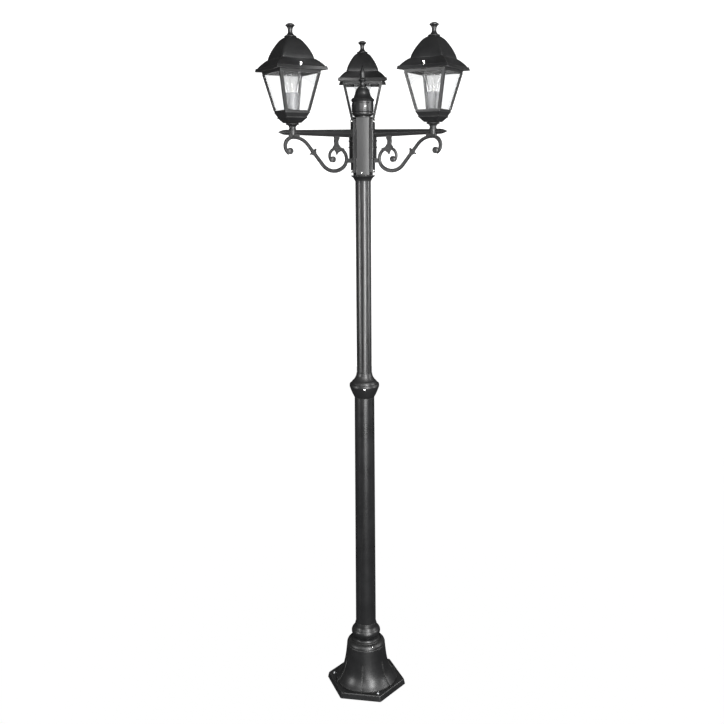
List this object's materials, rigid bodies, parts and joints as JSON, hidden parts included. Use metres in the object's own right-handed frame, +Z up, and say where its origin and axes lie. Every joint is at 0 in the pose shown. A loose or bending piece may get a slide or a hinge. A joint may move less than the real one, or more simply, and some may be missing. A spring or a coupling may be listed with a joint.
{
  "type": "lantern lamp post",
  "caption": "Tall garden lamp post with square glazed lanterns on scrolled arms round a fluted column, on a six-sided petalled base.",
  "frame": {"origin": "centre of the base's underside, on the column's axis", "axes": "+Z up along the column, +Y along the rear arm"},
  "size_m": [0.626, 0.5422, 2.1999],
  "materials": {
    "coated_casting": "satin powder coat on cast aluminium",
    "coated_tube": "satin powder coat on aluminium tube",
    "plain_aluminium": "as drawn",
    "bright_steel": "bright stainless",
    "zinc_steel": "zinc plated",
    "clear_glass": "clear flat glass",
    "bulb_glass": "clear blown glass",
    "bulb_metal": "rolled thread",
    "grey_sleeve": "smooth grey",
    "holder": "moulded, heat resistant",
    "terminal_plastic": "moulded",
    "cable_sheath": "black sheath"
  },
  "bodies": {
    "post": {"base_casting": "coated_casting", "column_foot": "coated_casting", "coupling_cup": "coated_casting", "coupling_skirt": "coated_casting", "hub_collar": "coated_casting", "hub": "coated_casting", "arm_rear": "coated_casting", "arm_left": "coated_casting", "arm_right": "coated_casting", "stem_rear": "coated_casting", "stem_left": "coated_casting", "stem_right": "coated_casting", "cage_rear": "coated_casting", "cage_left": "coated_casting", "cage_right": "coated_casting", "lower_tube": "coated_tube", "upper_tube": "coated_tube", "hub_core": "plain_aluminium", "base_set_screws": "bright_steel", "coupling_set_screws": "bright_steel", "hub_set_screws": "bright_steel", "arm_screws": "bright_steel", "earth_screw": "bright_steel", "nipples": "zinc_steel", "nipple_nuts": "zinc_steel", "terminal_plate": "zinc_steel", "glass_rear": "clear_glass", "glass_left": "clear_glass", "glass_right": "clear_glass", "sleeve_rear": "grey_sleeve", "sleeve_left": "grey_sleeve", "sleeve_right": "grey_sleeve", "lampholder_rear": "holder", "lampholder_left": "holder", "lampholder_right": "holder", "terminal_block": "terminal_plastic", "joint_block": "terminal_plastic", "supply_lead": "cable_sheath", "lamp_leads": "cable_sheath"},
    "roof_rear_top": {"roof_rear": "coated_casting", "roof_screws_rear": "bright_steel", "roof_knob_rear": "coated_casting", "roof_knob_nut_rear": "zinc_steel"},
    "bulb_rear": {"bulb_glass_rear": "bulb_glass", "bulb_cap_rear": "bulb_metal"},
    "roof_left_top": {"roof_left": "coated_casting", "roof_screws_left": "bright_steel", "roof_knob_left": "coated_casting", "roof_knob_nut_left": "zinc_steel"},
    "bulb_left": {"bulb_glass_left": "bulb_glass", "bulb_cap_left": "bulb_metal"},
    "roof_right_top": {"roof_right": "coated_casting", "roof_screws_right": "bright_steel", "roof_knob_right": "coated_casting", "roof_knob_nut_right": "zinc_steel"},
    "bulb_right": {"bulb_glass_right": "bulb_glass", "bulb_cap_right": "bulb_metal"},
    "hub_cap_top": {"hub_cap": "coated_casting", "hub_cap_spire": "coated_casting", "hub_cap_screws": "bright_steel"}
  },
  "joints": [
    {"name": "roof_rear_lift", "type": "slide", "parent": "post", "child": "roof_rear_top", "axis": [0, 0, 1], "range_m": [0, 0.15]},
    {"name": "bulb_rear_turn", "type": "hinge", "parent": "post", "child": "bulb_rear", "pos_m": [0, 0.24, 2], "axis": [0, 0, 1], "range_deg": [0, 1440]},
    {"name": "roof_left_lift", "type": "slide", "parent": "post", "child": "roof_left_top", "axis": [0, 0, 1], "range_m": [0, 0.15]},
    {"name": "bulb_left_turn", "type": "hinge", "parent": "post", "child": "bulb_left", "pos_m": [-0.20785, -0.12, 2], "axis": [0, 0, 1], "range_deg": [0, 1440]},
    {"name": "roof_right_lift", "type": "slide", "parent": "post", "child": "roof_right_top", "axis": [0, 0, 1], "range_m": [0, 0.15]},
    {"name": "bulb_right_turn", "type": "hinge", "parent": "post", "child": "bulb_right", "pos_m": [0.20785, -0.12, 2], "axis": [0, 0, 1], "range_deg": [0, 1440]},
    {"name": "hub_cap_lift", "type": "slide", "parent": "post", "child": "hub_cap_top", "axis": [0, 0, 1], "range_m": [0, 0.06]}
  ]
}
